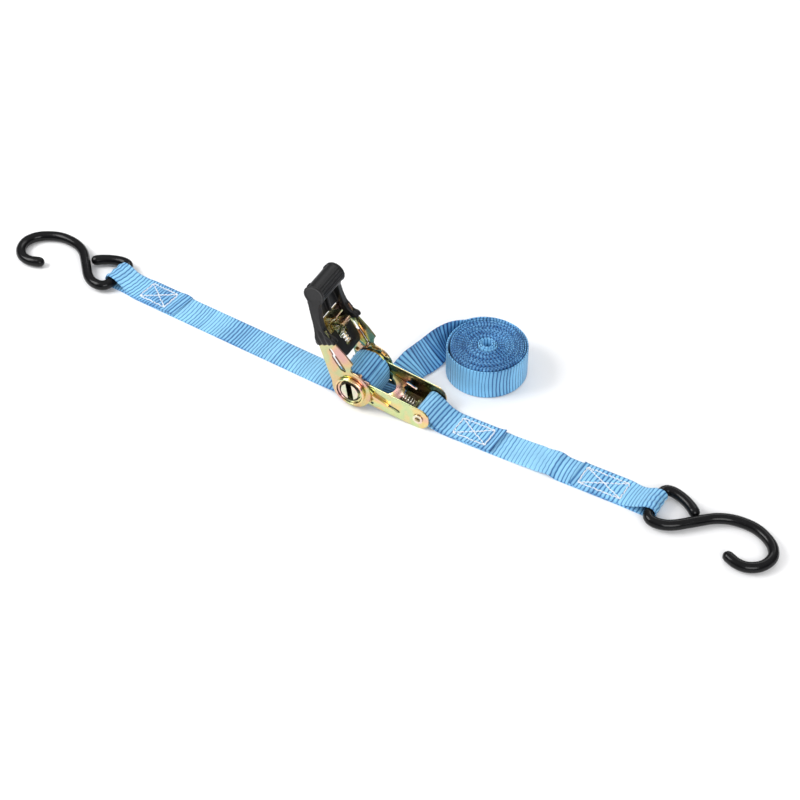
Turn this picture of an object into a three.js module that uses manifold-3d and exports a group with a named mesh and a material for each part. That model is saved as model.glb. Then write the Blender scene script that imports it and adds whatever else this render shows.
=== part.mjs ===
// Ratchet tie-down: 25 mm webbing, a small ratchet buckle, two coated S-hooks and the spare
// strap rolled up on its edge. Millimetres, +Z up, +X along the strap from the long side to the
// short side, +Y across it. Everything lies on the plane z = 0.
import * as THREE from "three";
import { mergeVertices } from "three/addons/utils/BufferGeometryUtils.js";
import Module from "manifold-3d";

const wasm = await Module();
wasm.setup();

// ---- driving dimensions -------------------------------------------------------------------
const GAP = 0.3; // clearance between neighbouring solids
const RAD = Math.PI / 180;

// webbing
const STRAP_W = 25;
const STRAP_T = 1.25;
const LAYER = STRAP_T - 0.03; // pitch of two sewn layers, which share one solid
const LOOP_GAP = 0.5; // around a hook's bar
const PINCH = 0.2; // share of its width that the webbing loses in a hook's eye
const LONG_PULL = -1.2; // how far the eye pulls the webbing to one side
const SHORT_PULL = -3;

// places along the row
const AXLE_H = 17; // spool axis above the floor
const FRAME_PITCH = 8.5 * RAD; // the frame's pin end hangs lower than the spool
const HANDLE_UP = 112 * RAD; // handle above the horizontal, measured from +X
const LONG_YAW = -5.7 * RAD; // the long strap leaves the spool slightly skewed
const SHORT_YAW = -1.9 * RAD;
const LONG_BAR_X = -230; // hook bar on the long strap, along that strap
const SHORT_BAR_X = 182; // hook bar on the short strap, from the end pin

// ratchet stack, half widths from the middle plane outwards
const FRAME_IN = 13.2;
const PLATE_T = 1.3;
const FRAME_OUT = FRAME_IN + PLATE_T;
const WHEEL_IN = FRAME_OUT + GAP;
const WHEEL_T = 1.4;
const YOKE_IN = WHEEL_IN + WHEEL_T + GAP;
const YOKE_OUT = YOKE_IN + PLATE_T;
const YOKE_WEB = YOKE_IN + 0.3; // half width of the web that joins the yoke's plates
const WASHER_IN = YOKE_OUT + GAP;
const SHAFT_END = 20.6;

// spool
const SHAFT_R = 7;
const SLOT_HALF = 2.3; // half the slot between the two half shafts
const SLOT_TURN = 107; // direction of that slot, in degrees in the frame's own axes
const ROLL_R = 14.2;
const TEETH = 12;
const TOOTH_TIP = 16.9;
const TOOTH_ROOT = 14.3;
const TOOTH_START = 10 * RAD; // steep face of the first tooth, in the frame's own axes

// frame
const PIN_X = 53.5;
const PIN_Z = -0.4;
const PIN_R = 3;
const PIN_BORE = 2.1;
const FRAME_TIP_R = 8.65;
const FRAME_LOW = -10;
const FRAME_HIGH = 8.7;
const FRAME_ROUND = 12.4;
const WEB_X = [31, 46.6];
const PAWL_SLOPE = -10.8 * RAD; // slots and frame pawl, against the frame's own axis
const PAWL_Z0 = 4.3; // height of the slot line at the spool axis
const PAWL_T = 2;
const PAWL_NOSE = 14.9;
const PAWL_EAR_END = 30;
const PAWL_TRAVEL = 4;
const SPRING_R = 2.7;
const SPRING_WIRE = 0.45;

// handle, in its own axes: x out from the spool, z to the back of the handle
const GRIP_BAR = [80.8, -0.1];
const GRIP_BAR_R = 7.8;
const GRIP_BAR_HALF = 14.4;
const GRIP_NARROW = 0.25; // share of its width that the grip loses up to the bar
const GRIP_LEG_END = 41;
const GRIP_NARROW_FROM = 50;
const HANDLE_ROUND = 15.7;
const DRIVE_SLOPE = 13 * RAD;
const DRIVE_Z0 = -5;
const DRIVE_NOSE = TOOTH_TIP + 0.5;

// hooks
const WIRE_R = 3.9;
const HOOK_REACH = 90;

// spare strap coil
const COIL_AT = [69.3, 63.6];
const COIL_R = 30.7;
const COIL_BORE = 7.2;

// ---- materials ----------------------------------------------------------------------------
const paint = (color, roughness, metalness) =>
  new THREE.MeshStandardMaterial({ color, roughness, metalness });
const ZINC = () => paint(0xd8bf7a, 0.32, 1);
const STEEL = () => paint(0xb9b6ac, 0.3, 1);
const BLACK = () => paint(0x17181b, 0.55, 0);
const COATED = () => paint(0x0c0c0d, 0.38, 0);
const BLUE = () => paint(0x3f8fd2, 0.7, 0);

// ---- solids -------------------------------------------------------------------------------
function toSolid(geometry) {
  const bare = geometry.index ? geometry.toNonIndexed() : geometry.clone();
  for (const name of ["normal", "uv"]) bare.deleteAttribute(name);
  const merged = mergeVertices(bare, 1e-4);
  return new wasm.Manifold(
    new wasm.Mesh({
      numProp: 3,
      vertProperties: merged.attributes.position.array,
      triVerts: new Uint32Array(merged.index.array),
    }),
  );
}

function toGeometry(solid) {
  const mesh = solid.getMesh();
  const geometry = new THREE.BufferGeometry();
  geometry.setAttribute("position", new THREE.BufferAttribute(mesh.vertProperties, 3));
  geometry.setIndex(new THREE.BufferAttribute(mesh.triVerts, 1));
  const flat = geometry.toNonIndexed();
  flat.computeVertexNormals();
  return flat;
}

function node(name, solid, material, parent) {
  const mesh = new THREE.Mesh(toGeometry(solid), material);
  mesh.name = name;
  parent.add(mesh);
  return mesh;
}

const union = (...solids) => solids.reduce((a, b) => a.add(b));
const cut = (solid, ...tools) => tools.reduce((a, b) => a.subtract(b), solid);

function shape(points, holes = []) {
  const s = new THREE.Shape(points.map(([x, y]) => new THREE.Vector2(x, y)));
  s.holes = holes.map((h) => new THREE.Path(h.map(([x, y]) => new THREE.Vector2(x, y))));
  return s;
}

// a shape drawn in x and z, standing between two values of y
function slab(outline, y0, y1, holes) {
  const s = outline.isShape ? outline : shape(outline, holes);
  const g = new THREE.ExtrudeGeometry(s, { depth: y1 - y0, bevelEnabled: false, steps: 1 });
  g.rotateX(Math.PI / 2).translate(0, y1, 0);
  return toSolid(g);
}

// a shape drawn in x and y, standing between two values of z
function layer(outline, z0, z1, holes) {
  const g = new THREE.ExtrudeGeometry(shape(outline, holes), { depth: z1 - z0, bevelEnabled: false });
  g.translate(0, 0, z0);
  return toSolid(g);
}

function box(x0, x1, y0, y1, z0, z1) {
  const g = new THREE.BoxGeometry(x1 - x0, y1 - y0, z1 - z0);
  g.translate((x0 + x1) / 2, (y0 + y1) / 2, (z0 + z1) / 2);
  return toSolid(g);
}

function rod(radius, y0, y1, x = 0, z = 0, sides = 32) {
  const g = new THREE.CylinderGeometry(radius, radius, y1 - y0, sides);
  g.translate(x, (y0 + y1) / 2, z);
  return toSolid(g);
}

const polar = (r, degrees) => [r * Math.cos(degrees * RAD), r * Math.sin(degrees * RAD)];

// points of an arc in the plane, angles in degrees, both ends included
function arc(cx, cy, r, from, to, steps) {
  return Array.from({ length: steps + 1 }, (_, i) => {
    const [x, y] = polar(r, from + ((to - from) * i) / steps);
    return [cx + x, cy + y];
  });
}

// a rounded slot from (x0, z0) to (x1, z1)
function slotOutline(x0, z0, x1, z1, half, steps = 6) {
  const a = Math.atan2(z1 - z0, x1 - x0) / RAD;
  return [
    ...arc(x1, z1, half, a - 90, a + 90, steps),
    ...arc(x0, z0, half, a + 90, a + 270, steps),
  ];
}

// a strip of webbing seen from its edge: the centre line becomes a closed outline
function stripOutline(line, thickness = STRAP_T) {
  const side = (sign) =>
    line.map(([x, z], i) => {
      const [ax, az] = line[Math.max(i - 1, 0)];
      const [bx, bz] = line[Math.min(i + 1, line.length - 1)];
      const len = Math.hypot(bx - ax, bz - az);
      return [x - (sign * (bz - az) * thickness) / 2 / len, z + (sign * (bx - ax) * thickness) / 2 / len];
    });
  return [...side(-1), ...side(1).reverse()];
}

const strip = (line) => slab(stripOutline(line), -STRAP_W / 2, STRAP_W / 2);

// a smooth line through hand-placed points, as points [x, z]
function smooth(points, steps) {
  const curve = new THREE.CatmullRomCurve3(points.map(([x, z]) => new THREE.Vector3(x, 0, z)));
  return curve.getPoints(steps).map((p) => [p.x, p.z]);
}

// round wire along a curve, with domed ends when asked
function wire(curve, radius, steps, sides, domed = false) {
  const ring = shape(arc(0, 0, radius, 0, 360, sides).slice(0, sides));
  const tube = toSolid(
    new THREE.ExtrudeGeometry(ring, { steps, extrudePath: curve, bevelEnabled: false }),
  );
  if (!domed) return tube;
  const caps = [0, 1].map((t) => {
    const p = curve.getPointAt(t);
    return toSolid(new THREE.SphereGeometry(radius * 0.995, sides, 6).translate(p.x, p.y, p.z));
  });
  return union(tube, ...caps);
}

// a coil spring along x from x0 to x1 about the line y = 0, z = 0
function spring(x0, x1, radius, wireR, turns) {
  class Helix extends THREE.Curve {
    getPoint(t, target = new THREE.Vector3()) {
      const a = 2 * Math.PI * turns * t;
      return target.set(x0 + (x1 - x0) * t, radius * Math.cos(a), radius * Math.sin(a));
    }
  }
  return wire(new Helix(), wireR, Math.round(turns * 11), 5);
}

// ---- spool --------------------------------------------------------------------------------
function halfShaftOutline(side, grow = 0) {
  const r = SHAFT_R + grow;
  const flat = SLOT_HALF - grow;
  const a = Math.acos(flat / r) / RAD;
  return arc(0, 0, r, SLOT_TURN + side * 90 - a, SLOT_TURN + side * 90 + a, 14);
}

function halfShaft(side) {
  return slab(halfShaftOutline(side), -SHAFT_END, SHAFT_END);
}

function ratchetWheel(y0) {
  const step = 360 / TEETH;
  const teeth = Array.from({ length: TEETH }, (_, i) => {
    const a = TOOTH_START / RAD + i * step;
    return [
      polar(TOOTH_ROOT, a),
      ...arc(0, 0, TOOTH_TIP, a, a + 5, 1),
      ...arc(0, 0, TOOTH_ROOT, a + 16, a + step - 5, 2),
    ];
  }).flat();
  const keys = [1, -1].map((side) => slab(halfShaftOutline(side, GAP), y0 - 1, y0 + WHEEL_T + 1));
  return cut(slab(teeth, y0, y0 + WHEEL_T), ...keys);
}

// cup washer that closes the stack, its rim standing around the ends of the half shafts
function hubWasher(side) {
  const y = WASHER_IN;
  const profile = [
    [SHAFT_R + GAP, y],
    [11.3, y],
    [11.8, y + 0.6],
    [11.8, y + 2.4],
    [11.4, y + 2.9],
    [10.5, y + 2.9],
    [10.2, y + 1.4],
    [9.6, y + 0.9],
    [SHAFT_R + GAP, y + 0.9],
    [SHAFT_R + GAP, y],
  ].map(([r, h]) => new THREE.Vector2(r, h));
  const g = new THREE.LatheGeometry(profile, 40);
  return side > 0 ? toSolid(g) : toSolid(g.rotateX(Math.PI));
}

// open wire ring outside the washer that keeps the half shafts in
function retainingRing(side) {
  const y = side * (WASHER_IN + 1.7);
  class Ring extends THREE.Curve {
    getPoint(t, target = new THREE.Vector3()) {
      const a = (20 + 320 * t) * RAD;
      return target.set(7.95 * Math.cos(a), y, 7.95 * Math.sin(a));
    }
  }
  return wire(new Ring(), 0.6, 26, 5);
}

function strapRoll() {
  const half = STRAP_W / 2;
  const tube = cut(rod(ROLL_R, -half, half, 0, 0, 48), rod(SHAFT_R + GAP, -half - 1, half + 1));
  const through = box(-SHAFT_R - 0.6, SHAFT_R + 0.6, -half, half, -STRAP_T, STRAP_T);
  return union(tube, through.rotate([0, -SLOT_TURN, 0]));
}

function addSpool(parent) {
  const spool = new THREE.Group();
  spool.rotation.y = FRAME_PITCH;
  parent.add(spool);
  node("half_shaft_left", halfShaft(1), STEEL(), spool);
  node("half_shaft_right", halfShaft(-1), STEEL(), spool);
  node("ratchet_wheel_near", ratchetWheel(-WHEEL_IN - WHEEL_T), ZINC(), spool);
  node("ratchet_wheel_far", ratchetWheel(WHEEL_IN), ZINC(), spool);
  node("hub_washer_near", hubWasher(-1), ZINC(), spool);
  node("hub_washer_far", hubWasher(1), ZINC(), spool);
  node("retaining_ring_near", retainingRing(-1), STEEL(), spool);
  node("retaining_ring_far", retainingRing(1), STEEL(), spool);
  node("strap_roll", strapRoll(), BLUE(), spool);
}

// ---- frame --------------------------------------------------------------------------------
const slotZ = (x) => PAWL_Z0 + Math.tan(PAWL_SLOPE) * x;

function framePlate(y0) {
  const join = Math.asin(-FRAME_LOW / FRAME_ROUND) / RAD;
  const joinHigh = Math.asin(FRAME_HIGH / FRAME_ROUND) / RAD;
  const outline = [
    ...arc(0, 0, FRAME_ROUND, joinHigh, 360 - join, 20),
    ...arc(PIN_X, PIN_Z, FRAME_TIP_R, -88, 88, 12),
  ];
  const slot = slotOutline(16.5, slotZ(16.5), 37.5, slotZ(37.5), PAWL_T / 2 + 0.35);
  const nose = slotOutline(12.5, slotZ(12.5) + 0.1, 17, slotZ(17), PAWL_T / 2 + 0.35);
  return cut(
    slab(outline, y0, y0 + PLATE_T),
    rod(SHAFT_R + GAP, y0 - 1, y0 + PLATE_T + 1),
    rod(PIN_R + 0.2, y0 - 1, y0 + PLATE_T + 1, PIN_X, PIN_Z, 24),
    slab(slot, y0 - 1, y0 + PLATE_T + 1),
    slab(nose, y0 - 1, y0 + PLATE_T + 1),
    box(15.6, 17.6, y0 - 1, y0 + PLATE_T + 1, -7.6, -5.6),
  );
}

function frameChannel() {
  const [x0, x1] = WEB_X;
  const web = layer(
    [[x0, -FRAME_IN - 0.5], [x1, -FRAME_IN - 0.5], [x1, FRAME_IN + 0.5], [x0, FRAME_IN + 0.5]],
    FRAME_LOW,
    FRAME_LOW + PLATE_T,
    [arc((x0 + x1) / 2 - 2, 0, 3.2, 0, 360, 20).slice(0, 20)],
  );
  // lug bent up from the web, the seat of the pawl spring
  const lug = slab(
    [[x1 - PLATE_T, FRAME_LOW], [x1, FRAME_LOW], [x1, slotZ(x1) + 3.6], [x1 - PLATE_T, slotZ(x1) + 3.9]],
    -5,
    5,
  );
  return union(framePlate(-FRAME_OUT), framePlate(FRAME_IN), web, lug);
}

function endPin() {
  const y = FRAME_OUT;
  const profile = [
    [PIN_BORE, -y - 0.9],
    [PIN_R + 1, -y - 0.9],
    [PIN_R + 1, -y - 0.3],
    [PIN_R, -y - 0.3],
    [PIN_R, y + 0.3],
    [PIN_R + 1, y + 0.3],
    [PIN_R + 1, y + 0.9],
    [PIN_BORE, y + 0.9],
    [PIN_BORE, -y - 0.9],
  ].map(([r, h]) => new THREE.Vector2(r, h));
  return toSolid(new THREE.LatheGeometry(profile, 24)).translate([PIN_X, 0, PIN_Z]);
}

// plate that slides in both slots; x runs along the slots, the nose is at the wheels
function framePawl() {
  const ear = FRAME_OUT + GAP + WHEEL_T;
  const half = (sign) => [
    [PAWL_NOSE, sign * ear],
    [PAWL_EAR_END, sign * ear],
    [PAWL_EAR_END, sign * (FRAME_IN - 0.8)],
    [PAWL_EAR_END + 1.5, sign * (FRAME_IN - 2.5)],
    [PAWL_EAR_END + 0.6, sign * 7],
    [PAWL_EAR_END + 3, sign * 5.6],
    [PAWL_EAR_END + 3.6, sign * 1.6],
    [PAWL_EAR_END + 6.4, sign * 1.6],
  ];
  const cove = arc(17.6, 0, 9.2, -74, 74, 14);
  const plan = [
    ...half(-1),
    ...half(1).reverse(),
    [PAWL_NOSE, 13],
    [18.4, 12.2],
    ...cove.reverse(),
    [18.4, -12.2],
    [PAWL_NOSE, -13],
  ];
  return layer(plan, -PAWL_T / 2, PAWL_T / 2);
}

function addFrame(parent) {
  const frame = new THREE.Group();
  frame.rotation.y = FRAME_PITCH;
  parent.add(frame);
  node("frame_channel", frameChannel(), ZINC(), frame);
  node("end_pin", endPin(), STEEL(), frame);
  const slide = new THREE.Group();
  slide.position.z = PAWL_Z0;
  slide.rotation.y = -PAWL_SLOPE;
  frame.add(slide);
  node("frame_pawl", framePawl(), ZINC(), slide);
  const seat = PAWL_EAR_END + 3.6 + SPRING_WIRE + GAP;
  const stop = (WEB_X[1] - PLATE_T) / Math.cos(PAWL_SLOPE) - SPRING_WIRE - 1;
  node("frame_pawl_spring", spring(seat, stop, SPRING_R, SPRING_WIRE, 5), STEEL(), slide);
}

// ---- handle -------------------------------------------------------------------------------
const driveZ = (x) => DRIVE_Z0 + Math.tan(DRIVE_SLOPE) * x;

function yokePlate(y0) {
  const outline = [
    ...arc(0, 0, HANDLE_ROUND, 62, 334, 30),
    [16.2, -6.2],
    [20.4, -8.4],
    [22.2, -10.7],
    [30.5, -7.6],
    [40, -2.8],
    [46, 0],
    [52, 1.2],
    [52, 9],
    [49, 9.8],
    [41, 11.7],
  ];
  // the slot is wide where the pawl works and narrow at its far end
  const slot = slotOutline(17, driveZ(17), 35.5, driveZ(35.5), PAWL_T / 2 + 0.35);
  const wide = slotOutline(18.6, driveZ(18.6) + 0.5, 29, driveZ(29) + 0.7, 2.2);
  return cut(
    slab(outline, y0, y0 + PLATE_T),
    rod(SHAFT_R + GAP, y0 - 1, y0 + PLATE_T + 1),
    slab(slot, y0 - 1, y0 + PLATE_T + 1),
    slab(wide, y0 - 1, y0 + PLATE_T + 1),
  );
}

function handleYoke() {
  const web = slab([[31, 10.2], [55.5, 6.9], [55.5, 8.2], [31, 11.5]], -YOKE_WEB, YOKE_WEB);
  // tab bent forward from the web, the seat of the drive spring
  const tab = slab([[54.2, -2.2], [55.5, -2.2], [55.5, 7.6], [54.2, 7.8]], -4.6, 4.6);
  return union(yokePlate(-YOKE_OUT), yokePlate(YOKE_IN), web, tab);
}

// leg outline: x out from the spool, z to the back
const LEG = [
  [41, 12], [43.2, 12.5], [46, 11.5], [50, 10.1], [59, 9], [73, 8.1], [80.8, 7.8],
  [88.4, 4], [87, -2], [75, -3.4], [70, -0.4], [62, 1.4], [54, 2.2], [48, 0.8], [43.6, -3.2], [41, -4],
];

function grip() {
  // the two sides draw together towards the bar
  const narrow = (solid) =>
    solid.warp((v) => {
      v[1] *= 1 - (GRIP_NARROW * Math.max(0, v[0] - GRIP_NARROW_FROM)) / (GRIP_BAR[0] - GRIP_NARROW_FROM);
    });
  const legs = [-1, 1].map((s) => narrow(slab(LEG, s > 0 ? 14 : -19.3, s > 0 ? 19.3 : -14)));
  const back = narrow(slab([[57.5, 6], [57.5, 8.6], [73, 7.7], [82, 7.2], [82, 4.4], [73, 5.5]], -14.5, 14.5));
  const rib = slab([[57.5, 3.6], [57.5, 7], [78, 6.4], [78, 0.4]], -1, 1);
  const bar = rod(GRIP_BAR_R, -GRIP_BAR_HALF, GRIP_BAR_HALF, ...GRIP_BAR, 36);
  const ends = [-1, 1].map((s) => {
    const y = s * GRIP_BAR_HALF;
    const rim = rod(GRIP_BAR_R + 0.4, Math.min(y, y + s), Math.max(y, y + s), ...GRIP_BAR, 36);
    const dish = rod(GRIP_BAR_R - 0.9, y + s * 0.65 - 1 + s, y + s * 0.65 + 1 + s, ...GRIP_BAR, 36);
    return cut(rim, dish);
  });
  const room = [-1, 1].map((s) => {
    const [a, b] = s > 0 ? [YOKE_IN - GAP, YOKE_OUT + GAP] : [-YOKE_OUT - GAP, -YOKE_IN + GAP];
    return slab([[30, -10.4], [44, -1.4], [52.4, 0.8], [52.4, 9.3], [49.2, 10.2], [41, 12.2], [30, 12.8]], a, b);
  });
  const webHalf = YOKE_WEB + GAP;
  const webRoom = slab([[30, 9.9], [55.9, 6.5], [55.9, 8.6], [30, 12]], -webHalf, webHalf);
  return cut(union(bar, ...ends, ...legs, back, rib), ...room, webRoom);
}

function drivePawl() {
  const ear = YOKE_OUT - 0.8;
  const half = (sign) => [
    [DRIVE_NOSE, sign * ear],
    [30, sign * ear],
    [30, sign * (YOKE_IN - 0.6)],
    [37, sign * (YOKE_IN - 4)],
    [38, sign * 5],
    [51, sign * 5],
  ];
  const plan = [
    ...half(-1),
    ...half(1).reverse(),
    [DRIVE_NOSE, 12.6],
    [24.6, 11],
    [24.6, -11],
    [DRIVE_NOSE, -12.6],
  ];
  const plate = cut(layer(plan, -PAWL_T / 2, PAWL_T / 2), box(30, 52, -3.4, 3.4, -2, 2));
  // finger pull: the plate's end folded forward into a triangle
  const fold = slab(
    [[49.7, 1], [51, 1], [48.4, -12.2], [47, -12.6], [38.8, -1.2], [40.4, -1], [47.2, -9.8]],
    -5,
    5,
  );
  const springRoom = box(37, 52, -3.4, 3.4, -5.2, 2);
  // the pull's heel slopes so that it passes under the yoke's web
  const heel = slab([[46.6, 1.3], [51.4, -0.75], [51.4, 1.3]], -7, 7);
  return cut(union(plate, cut(fold, springRoom)), heel);
}

// black shield on the front of the drive pawl, open around the spring and the finger pull
function pawlShield() {
  const half = (sign) => [
    [29.4, sign * 3.4],
    [37, sign * 3.4],
    [37, sign * 5.4],
    [45, sign * 5.4],
    [45, sign * 12.6],
    [28.5, sign * 12.6],
    [24.8, sign * 9.5],
  ];
  const low = -PAWL_T / 2 - GAP;
  return layer([...half(1), ...half(-1).reverse()], low - 1.8, low);
}

function addHandle(parent) {
  const handle = new THREE.Group();
  handle.rotation.y = -HANDLE_UP;
  parent.add(handle);
  node("handle_yoke", handleYoke(), ZINC(), handle);
  node("grip", grip(), BLACK(), handle);
  const slide = new THREE.Group();
  slide.position.z = DRIVE_Z0;
  slide.rotation.y = -DRIVE_SLOPE;
  handle.add(slide);
  node("drive_pawl", drivePawl(), ZINC(), slide);
  node("pawl_shield", pawlShield(), BLACK(), slide);
  const turns = spring(30.6, 52, 2.5, SPRING_WIRE, 8).translate([0, 0, -1.6]);
  node("drive_pawl_spring", turns, STEEL(), slide);
}

// ---- hooks --------------------------------------------------------------------------------
// S-hook in its own plane: u runs from the bar in the strap loop to the open hook, v across
const HOOK_LINE = [
  [26.8, 3.5], [24.4, 5.7], [19, 9.3], [12.4, 12.2], [7, 13.4], [3.7, 13.3], [0.9, 11.9], [0, 8.9],
  [0, 3], [0, -3], [0, -9], [0, -13.2], [1.2, -16.6], [4.2, -18.8], [9, -19.2], [15, -17.7],
  [21, -13.8], [27.2, -8], [34, -1.4], [42, 5.6], [51, 9.9], [60, 11.4], [69, 10.9], [77.5, 7.6],
  [85.6, 1.2], [89.4, -8], [86, -18.6], [78, -24.6], [70.4, -25.1], [63.2, -22.4],
];

function hook() {
  const curve = new THREE.CatmullRomCurve3(
    HOOK_LINE.map(([u, v]) => new THREE.Vector3(u, v, 0)), false, "centripetal",
  );
  return wire(curve, WIRE_R, 56, 10, true);
}

// ---- webbing ------------------------------------------------------------------------------
// height of a hook bar that rests on one layer of webbing
const BAR_H = STRAP_T + LOOP_GAP + WIRE_R;
const LOOP_R = WIRE_R + LOOP_GAP + STRAP_T / 2;

const HOOK_TILT = Math.asin((BAR_H - WIRE_R) / HOOK_REACH); // the open end lies on the floor

// the webbing draws together, and to one side, from its full width to the hook's bar
function pinched(solid, bar, pull) {
  const reach = Math.abs(bar);
  return solid.warp((v) => {
    const f = THREE.MathUtils.smoothstep(Math.sign(bar) * v[0], reach - 26, reach - 8);
    v[1] = v[1] * (1 - PINCH * f) + pull * f;
  });
}

function longStrap() {
  const floor = STRAP_T / 2;
  const bar = LONG_BAR_X;
  const under = strip([
    [-1, AXLE_H - ROLL_R - GAP - floor],
    [-8, AXLE_H - ROLL_R - GAP - floor],
    ...smooth([[-14, 1.75], [-22, 1.2], [-34, 0.75], [-48, floor], [-70, floor]], 10),
    ...[26, 20, 14, 8, 0].map((d) => [bar + d, floor]),
  ]);
  const loop = strip([
    [bar + 1, BAR_H - LOOP_R],
    ...arc(bar, BAR_H, LOOP_R, 270, 90, 14),
    ...smooth([[bar + 4, BAR_H + LOOP_R - 0.7], [bar + 10, 6.6], [bar + 16, 3.6], [bar + 22, floor + LAYER]], 10),
    [bar + 61.5, floor + LAYER],
  ]);
  return pinched(union(under, loop), bar, LONG_PULL);
}

function shortStrap() {
  const floor = STRAP_T / 2;
  const r = PIN_R + 2.5 * GAP + STRAP_T / 2; // room for the skew of the strap on its pin
  const pinH = AXLE_H - PIN_X * Math.sin(FRAME_PITCH) + PIN_Z * Math.cos(FRAME_PITCH);
  const bar = SHORT_BAR_X;
  const under = strip([
    [0, pinH - r],
    ...smooth([[3, pinH - r], [9, 3], [16, 1.2], [24, floor]], 8),
    ...[26, 20, 14, 8, 0].map((d) => [bar - d, floor]),
  ]);
  const pinLoop = strip([
    [0.8, pinH - r],
    ...arc(0, pinH, r, 270, 60, 14),
    ...smooth([[4, pinH + r - 1.4], [9, 8.2], [14, 4.6], [21, 2.2], [27, floor + LAYER]], 12),
    [58.5, floor + LAYER],
  ]);
  const hookLoop = strip([
    [bar - 1, BAR_H - LOOP_R],
    ...arc(bar, BAR_H, LOOP_R, -90, 90, 14),
    ...smooth([[bar - 4, BAR_H + LOOP_R - 0.7], [bar - 10, 6.6], [bar - 16, 3.6], [bar - 22, floor + LAYER]], 10),
    [bar - 61, floor + LAYER],
  ]);
  return pinched(union(under, pinLoop, hookLoop), bar, SHORT_PULL);
}

// the spare strap: x and y of its middle, and its tilt from flat to on edge, in degrees
const TAIL_ROUTE = [
  [19.1, 10, 0], [19.1, 18, 0], [19.1, 26, 2], [19.7, 33.6, 10], [22.2, 40.2, 23], [26, 46.6, 34],
  [29, 53.6, 44], [30.9, 61, 59], [33.2, 68.8, 75], [37, 75.8, 85], [42.4, 81.2, 90],
];

// height of a strap's middle when its lower edge touches the floor
const restingHeight = (tilt) =>
  (STRAP_W * Math.sin(tilt * RAD) + STRAP_T * Math.cos(tilt * RAD)) / 2 + 0.1;

// webbing that bends and turns on its way: one box section per station
function ribbon(route, thickness, steps) {
  const middle = route.map(([x, y, tilt]) => new THREE.Vector3(x, y, restingHeight(tilt)));
  const centre = new THREE.CatmullRomCurve3(middle);
  const sections = Array.from({ length: steps + 1 }, (_, i) => {
    const t = i / steps;
    const p = centre.getPoint(t);
    const along = centre.getTangent(t);
    const k = Math.min(Math.floor(t * (route.length - 1)), route.length - 2);
    const f = t * (route.length - 1) - k;
    const tilt = THREE.MathUtils.lerp(route[k][2], route[k + 1][2], f) * RAD;
    const flat = new THREE.Vector3(along.y, -along.x, 0).normalize();
    const across = flat.multiplyScalar(Math.cos(tilt)).add(new THREE.Vector3(0, 0, -Math.sin(tilt)));
    across.addScaledVector(along, -across.dot(along)).normalize();
    const face = new THREE.Vector3().crossVectors(along, across).normalize();
    const corner = (a, b) =>
      p.clone().addScaledVector(across, (a * STRAP_W) / 2).addScaledVector(face, (b * thickness) / 2);
    return [corner(-1, -1), corner(1, -1), corner(1, 1), corner(-1, 1)];
  });
  const positions = sections.flat().flatMap((v) => [v.x, v.y, v.z]);
  const faces = [0, 2, 1, 0, 3, 2];
  for (let i = 0; i < steps; i++) {
    for (let j = 0; j < 4; j++) {
      const [a, b] = [4 * i + j, 4 * i + ((j + 1) % 4)];
      faces.push(a, b, b + 4, a, b + 4, a + 4);
    }
  }
  const e = 4 * steps;
  faces.push(e, e + 1, e + 2, e, e + 2, e + 3);
  const g = new THREE.BufferGeometry();
  g.setAttribute("position", new THREE.Float32BufferAttribute(positions, 3));
  g.setIndex(faces);
  return toSolid(g);
}

// the strap comes down between spool and pawl, folds over 45 degrees and leaves sideways
function tailStrap() {
  const half = STRAP_W / 2;
  const x0 = ROLL_R + GAP + STRAP_T / 2;
  const down = strip([
    [x0, AXLE_H + 3],
    [x0, AXLE_H - 5],
    ...smooth([[x0 - 0.2, 9], [x0 - 2.2, 5], [x0 - 5, 2.7], [x0 - 8.5, 1.6]], 8),
  ]);
  const corner = TAIL_ROUTE[0][0] - half; // clear of the wheels' teeth
  const patch = layer(
    [[corner, -half], [corner + 2, -half], [corner + STRAP_W, half], [corner, half]],
    0.02,
    STRAP_T + 0.02,
  );
  return union(down, patch, ribbon(TAIL_ROUTE, STRAP_T, 32));
}

function coil() {
  const profile = [
    [COIL_BORE, 0],
    [COIL_R, 0],
    [COIL_R, STRAP_W],
    [COIL_BORE, STRAP_W],
    [COIL_BORE, 0],
  ].map(([r, z]) => new THREE.Vector2(r, z));
  return toSolid(new THREE.LatheGeometry(profile, 56).rotateX(Math.PI / 2));
}

// ---- assembly -----------------------------------------------------------------------------
const object = new THREE.Group();
object.name = "ratchet_tie_down";

const ratchet = new THREE.Group();
ratchet.position.z = AXLE_H;
object.add(ratchet);
addSpool(ratchet);
addFrame(ratchet);
addHandle(ratchet);

const long = new THREE.Group();
long.rotation.z = LONG_YAW;
object.add(long);
node("long_strap", longStrap(), BLUE(), long);
const longHook = node("hook_long_side", hook(), COATED(), long);
longHook.position.set(LONG_BAR_X, 0, BAR_H);
longHook.rotation.y = Math.PI - HOOK_TILT;

const short = new THREE.Group();
short.position.x = PIN_X * Math.cos(FRAME_PITCH) + PIN_Z * Math.sin(FRAME_PITCH);
short.rotation.z = SHORT_YAW;
object.add(short);
node("short_strap", shortStrap(), BLUE(), short);
const shortHook = node("hook_short_side", hook(), COATED(), short);
shortHook.position.set(SHORT_BAR_X, 0, BAR_H);
shortHook.rotation.y = HOOK_TILT;

node("tail_strap", tailStrap(), BLUE(), object);
const roll = node("strap_coil", coil(), BLUE(), object);
roll.position.set(...COIL_AT, 0);

// the origin is the middle of the bounding box's underside
const bounds = new THREE.Box3().setFromObject(object, true);
const middle = bounds.getCenter(new THREE.Vector3());
object.position.set(-middle.x, -middle.y, -bounds.min.z);

export default object;
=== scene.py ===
"""Looks of a ratchet tie down: webbing, plated steel, grip, coated hooks, threads, floor and light.

Shapes are written in millimetres and turned into metres where a mesh is made. Materials and
lights are in metres. A strap is drawn as the middle line of its webbing, in the strap's own axes:
x along it, z up from the floor.
"""
import math

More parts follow.
